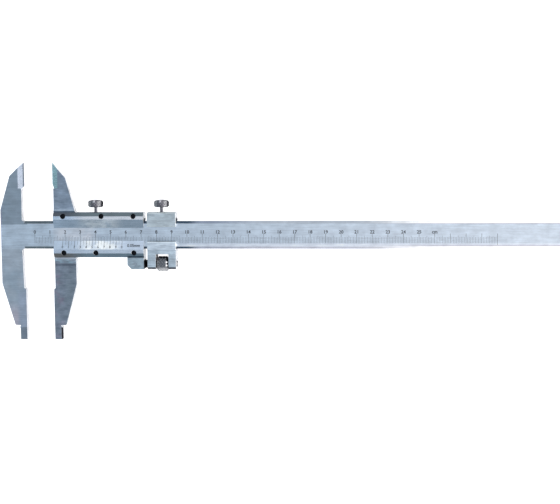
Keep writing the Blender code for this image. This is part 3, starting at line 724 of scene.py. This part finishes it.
def knurl(count, lead, depth, low, high, least):
    """Return a diamond knurl for turned(): it lies between low and high on radii above least."""

    def relief(angle, along, radius):
        if radius < least or not low < along < high:
            return 0.0
        round_it = count * angle / (2 * math.pi)
        one = (round_it + along / lead) % 1.0
        other = (round_it - along / lead) % 1.0
        return depth * max(abs(2 * one - 1), abs(2 * other - 1))

    return relief


def thread(pitch, depth, low, high):
    """Return a right-handed thread for turned() between low and high."""

    def relief(angle, along, radius):
        if not low < along < high:
            return 0.0
        turn = (along / pitch - angle / (2 * math.pi)) % 1.0
        return depth * abs(2 * turn - 1)

    return relief


def steps(start, end, length):
    """Return evenly spaced distances from start to end, about length apart."""
    count = max(1, round(abs(end - start) / length))
    return [start + (end - start) * index / count for index in range(count + 1)]


def quarter(inner, along, size, opening):
    """Return the rows of a rounded rim: it opens from its inner radius or closes back to it."""
    rows = []
    for index in range(ROUND_STEPS + 1):
        angle = math.pi / 2 * index / ROUND_STEPS
        if opening:
            rows.append((inner + size * math.sin(angle), along + size * (1 - math.cos(angle))))
        else:
            rows.append((inner + size * math.cos(angle), along - size * (1 - math.sin(angle))))
    return rows


def make_clamp_screw(node, body):
    """Make a clamp screw: threaded tip, thin neck and a crowned, knurled head."""
    low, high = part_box(node)
    centre = (low + high) / 2
    x = (centre.x - DATUM.x) * PER_METRE
    z = centre.z * PER_METRE
    tip = (low.y - DATUM.y) * PER_METRE
    top = (high.y - DATUM.y) * PER_METRE
    thread_radius, neck_radius, radius = 1.5, 1.0, 5.0
    corner, crown = 1.5, 0.5
    neck = tip + CLAMP_NECK
    bottom = tip + CLAMP_HEAD
    shoulder = top - crown
    inner = radius - corner
    thread_end = neck - 0.5
    rows = [(0, tip), (thread_radius - 0.4, tip), (thread_radius, tip + 0.4)]
    rows += [(thread_radius, along) for along in steps(tip + 0.45, thread_end, 0.0625)]
    rows += [(neck_radius, neck), (neck_radius, bottom - 0.15), (neck_radius + 0.25, bottom)]
    rows += [(inner - 0.6, bottom), (inner - 0.3, bottom + 0.06)]
    rows += quarter(inner, bottom, corner, True)
    rows += [(radius, along) for along in steps(bottom + corner, shoulder - corner, 0.2)][1:]
    rows += quarter(inner, shoulder, corner, False)[1:]
    rows += [(inner - 0.5, shoulder + 0.08), (inner * 0.5, top - 0.12), (0, top)]
    knurled = knurl(20, KNURL_LEAD, 0.4, bottom + 0.5, shoulder - 0.5, radius - 0.8)
    threaded = thread(CLAMP_PITCH, 0.28, tip + 0.4, thread_end)

    def relief(angle, along, at_radius):
        return knurled(angle, along, at_radius) + threaded(angle, along, at_radius)

    bm = turned(rows, KNURLED_SIDES, "Y", (x, 0, z), relief)
    metal = knurled_metal(node, HEAD_SHADE_START)
    piece(node + "_knurled", bm, metal, body, node, 40)


def make_nut():
    """Make the adjusting nut: a knurled collar with chamfered ends and its bore."""
    low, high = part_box("adjusting_nut")
    centre = (low + high) / 2 - DATUM
    half = (high.x - low.x) / 2 * PER_METRE
    radius, bore, chamfer, lead_in = 5.0, 2.95, 1.2, 0.3
    rows = [(bore, lead_in - half), (bore + lead_in, -half), (radius - chamfer, -half)]
    rows += [(radius, along) for along in steps(chamfer - half, half - chamfer, 0.2)]
    rows += [(radius - chamfer, half), (bore + lead_in, half), (bore, half - lead_in)]
    rows.append(rows[0])
    relief = knurl(16, KNURL_LEAD, 0.45, chamfer - half, half - chamfer, radius - 0.1)
    metal = knurled_metal("adjusting_nut", NUT_SHADE_START)
    bm = turned(rows, KNURLED_SIDES, "X", centre * PER_METRE, relief)
    bmesh.ops.remove_doubles(bm, verts=bm.verts, dist=1e-5)
    piece("adjusting_nut_knurled", bm, metal, "nut", "adjusting_nut", 40)


def make_lead_screw(metal):
    """Make the lead screw: a threaded length, a smooth journal and the hole for its pin."""
    low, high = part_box("lead_screw")
    pin_low, pin_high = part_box("lead_screw_pin")
    centre = (low + high) / 2 - DATUM
    y, z = centre.y * PER_METRE, centre.z * PER_METRE
    start = (low.x - DATUM.x) * PER_METRE
    end = (high.x - DATUM.x) * PER_METRE
    nut_low, nut_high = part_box("adjusting_nut")
    nut_middle = ((nut_low.x + nut_high.x) / 2 - DATUM.x) * PER_METRE
    thread_end = nut_middle + THREAD_PAST_NUT
    radius, journal, corner = 2.75, 1.9, 0.4
    rows = [(0, start), (radius - corner, start)]
    rows += [(radius, along) for along in steps(start + 0.4, thread_end - 0.4, LEAD_PITCH / 8)]
    rows += [(radius - corner, thread_end), (journal, thread_end)]
    rows += [(journal, end - 0.3), (journal - 0.3, end), (0, end)]
    relief = thread(LEAD_PITCH, 0.42, start + 0.4, thread_end - 0.4)
    bm = turned(rows, ROUND_SIDES, "X", (0, y, z), relief)
    pin_x = ((pin_low.x + pin_high.x) / 2 - DATUM.x) * PER_METRE
    hole = turned([(0, 0), (0.9, 0), (0.9, 10), (0, 10)], 24, "Z", (pin_x, y, 0))
    drilled = without(bm, hole)
    piece("lead_screw_threaded", drilled, metal, "slider", "lead_screw", 50)


def make_slotted_screw(node, body, metal, slot_turn):
    """Make a slotted screw: threaded shank and a low crowned head, its slot turned some way."""
    low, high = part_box(node)
    centre = ((low + high) / 2 - DATUM) * PER_METRE
    bottom, top = low.z * PER_METRE, high.z * PER_METRE
    radius = (high.x - low.x) / 2 * PER_METRE
    shank, crown = 1.0, 0.16
    seat = top - (1.4 if body == "beam" else 1.2)
    rows = [(0, bottom), (shank - 0.3, bottom), (shank, bottom + 0.3)]
    rows += [(shank, along) for along in steps(bottom + 0.3, seat - 0.4, 0.05)]
    rows += [(shank - 0.1, seat - 0.2), (shank - 0.1, seat), (radius - 0.05, seat)]
    rows += [(radius, seat + 0.05), (radius, top - 0.35), (radius - 0.08, top - 0.2)]
    rows += [(radius * 0.75, top - crown * 0.45), (radius * 0.4, top - crown * 0.1), (0, top)]
    relief = thread(0.4, 0.2, bottom + 0.3, seat - 0.4)
    bm = turned(rows, ROUND_SIDES, "Z", (centre.x, centre.y, 0), relief)
    reach, half, depth = 3.0, 0.22, 0.5
    cutter = block(
        (centre.x - reach, centre.y - half, top - depth),
        (centre.x + reach, centre.y + half, top + 1.0),
        math.radians(slot_turn),
    )
    piece(node + "_slotted", without(bm, cutter), metal, body, node, 40)


# --------------------------------------------------------------------------------------------
# Studio


def make_floor():
    """Lay the plain pale floor that the caliper rests on; the camera sees it as white."""
    bm = bmesh.new()
    bmesh.ops.create_grid(bm, x_segments=1, y_segments=1, size=4.0)
    mesh = bpy.data.meshes.new("floor")
    bm.to_mesh(mesh)
    bm.free()
    floor = bpy.data.objects.new("floor", mesh)
    floor.location.z = -0.0002
    bpy.context.scene.collection.objects.link(floor)
    material = bpy.data.materials.new("floor_white")
    material.use_nodes = True
    shader = material.node_tree.nodes["Principled BSDF"]
    shader.inputs["Base Color"].default_value = (0.70, 0.70, 0.71, 1.0)
    shader.inputs["Roughness"].default_value = 0.9
    shader.inputs["Specular IOR Level"].default_value = 0.1
    shader.inputs["Emission Color"].default_value = (1.0, 1.0, 1.0, 1.0)
    seen = material.node_tree.nodes.new("ShaderNodeLightPath").outputs["Is Camera Ray"]
    material.node_tree.links.new(seen, shader.inputs["Emission Strength"])
    mesh.materials.append(material)


def make_sky():
    """Make the studio's soft dome: dim to the left, bright low down at the sides and the right.

    The camera sees plain white in place of the dome.
    """
    world = bpy.data.worlds.new("studio")
    world.use_nodes = True
    tree = world.node_tree
    background = tree.nodes["Background"]

    def add(kind, inputs, **settings):
        made = tree.nodes.new("ShaderNode" + kind)
        for key, value in settings.items():
            setattr(made, key, value)
        for key, value in inputs.items():
            if isinstance(value, bpy.types.NodeSocket):
                tree.links.new(value, made.inputs[key])
            else:
                made.inputs[key].default_value = value
        return made

    direction = add("TexCoord", {}).outputs["Generated"]
    x, y, z = add("SeparateXYZ", {0: direction}).outputs

    def ramp(value, start, end, low, high):
        inputs = {"Value": value, "From Min": start, "From Max": end, "To Min": low, "To Max": high}
        return add("MapRange", inputs, interpolation_type="SMOOTHSTEP").outputs[0]

    def mix(factor, first, second):
        return add("Mix", {0: factor, 6: first, 7: second}, data_type="RGBA").outputs[2]

    overhead = mix(ramp(x, -0.35, 0.35, 0.0, 1.0), (0.38, 0.46, 0.56, 1), (1.1, 1.06, 1.1, 1))
    front = mix(ramp(y, 0.45, 0.65, 0.0, 1.0), overhead, (1.0, 1.05, 1.1, 1))
    low = mix(ramp(z, 0.6, 0.3, 0.0, 1.0), front, (0.3, 0.34, 0.4, 1))
    across = tree.nodes.new("ShaderNodeMath")
    across.operation = "ABSOLUTE"
    tree.links.new(y, across.inputs[0])
    flanks = mix(ramp(across.outputs[0], 0.75, 0.85, 0.0, 1.0), low, (1.5, 1.5, 1.5, 1))
    left = mix(ramp(x, -0.6, -0.85, 0.0, 1.0), flanks, (0.75, 0.9, 0.95, 1))
    ends = mix(ramp(x, 0.6, 0.85, 0.0, 1.0), left, (3.0, 3.0, 3.0, 1))
    shown = add("LightPath", {}).outputs["Is Camera Ray"]
    tree.links.new(mix(shown, ends, (1, 1, 1, 1)), background.inputs["Color"])
    background.inputs["Strength"].default_value = 1.0
    bpy.context.scene.world = world


def make_camera():
    """Put the camera over the caliper, as far away and turned as the picture needs."""
    data = bpy.data.cameras.new("camera")
    data.lens = CAMERA_LENS
    data.sensor_width = CAMERA_SENSOR
    camera = bpy.data.objects.new("camera", data)
    turn = Matrix.Translation(at(*CAMERA_PLACE))
    for axis, degrees in CAMERA_TURN:
        turn = turn @ Matrix.Rotation(math.radians(degrees), 4, axis)
    camera.matrix_world = turn
    bpy.context.scene.collection.objects.link(camera)
    bpy.context.scene.camera = camera


def dress(name, material, width=0.0):
    """Give a CAD node its material, and softened edges."""
    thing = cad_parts[name]
    for material_slot in thing.material_slots:
        material_slot.material = material
    if width:
        soften(name, width)


make_camera()
make_floor()
make_sky()
bpy.context.scene.view_settings.view_transform = "Standard"

black = black_metal("screw_black_oxide", (0.012, 0.013, 0.016), 0.35)
filling = ink()

dress("beam", beam_metal(), 0.12)
dress("slider_frame", slider_metal(), 0.12)
cover = plate_metal(
    "cover_plate_steel",
    bevels=((0.33, 0.42, 0.51), (0.265, 0.335, 0.40)),
    painted_glare=(0.49, 0.55, 0.585),
    lands=((0.74, 0.87, 1.0), (1.0, 1.0, 1.0)),
    edges=((0.065, 0.080, 0.102), (0.10, 0.131, 0.151)),
    land_start=10.25,
    edge_start=12.35,
)
vernier = plate_metal(
    "vernier_plate_steel",
    bevels=((0.46, 0.55, 0.66), (0.53, 0.61, 0.72)),
    painted_glare=(0.94, 0.97, 0.97),
    lands=((0.68, 0.76, 0.85), (0.72, 0.80, 0.87)),
    edges=((0.089, 0.095, 0.10), (0.098, 0.143, 0.182)),
    land_start=9.2,
    edge_start=11.8,
)
dress("upper_cover_plate", cover, 0.08)
dress("vernier_plate", vernier, 0.05)
dress("carriage_frame", carriage_metal(), 0.12)
pin = plain_metal("pin_steel", (0.44, 0.52, 0.58), 0.36, (1.0, 1.0, 1.0))
dress("lead_screw_pin", pin)
spring = plain_metal("gib_spring_steel", (0.10, 0.11, 0.12), 0.35, (3.0, 0.5, 0.5))
dress("slider_gib_spring", spring)
dress("carriage_gib_spring", spring)

make_main_scale(filling)
make_vernier_scale(filling)
make_clamp_screw("slider_clamp_screw", "slider_clamp")
make_clamp_screw("carriage_clamp_screw", "carriage_clamp")
make_nut()
lead_black = black_metal("lead_screw_black_oxide", (0.012, 0.012, 0.015), 0.4, JOURNAL_START)
make_lead_screw(lead_black)
SLOT_TURNS = {
    "cover_screw_left": 24.0,
    "cover_screw_middle": -61.0,
    "cover_screw_right": 78.0,
    "vernier_screw_left": 5.0,
    "vernier_screw_middle": 52.0,
    "vernier_screw_right": -33.0,
}
for screw, slot_turn in SLOT_TURNS.items():
    make_slotted_screw(screw, "slider", black, slot_turn)
make_slotted_screw("beam_stop_screw", "beam", black, 40.0)
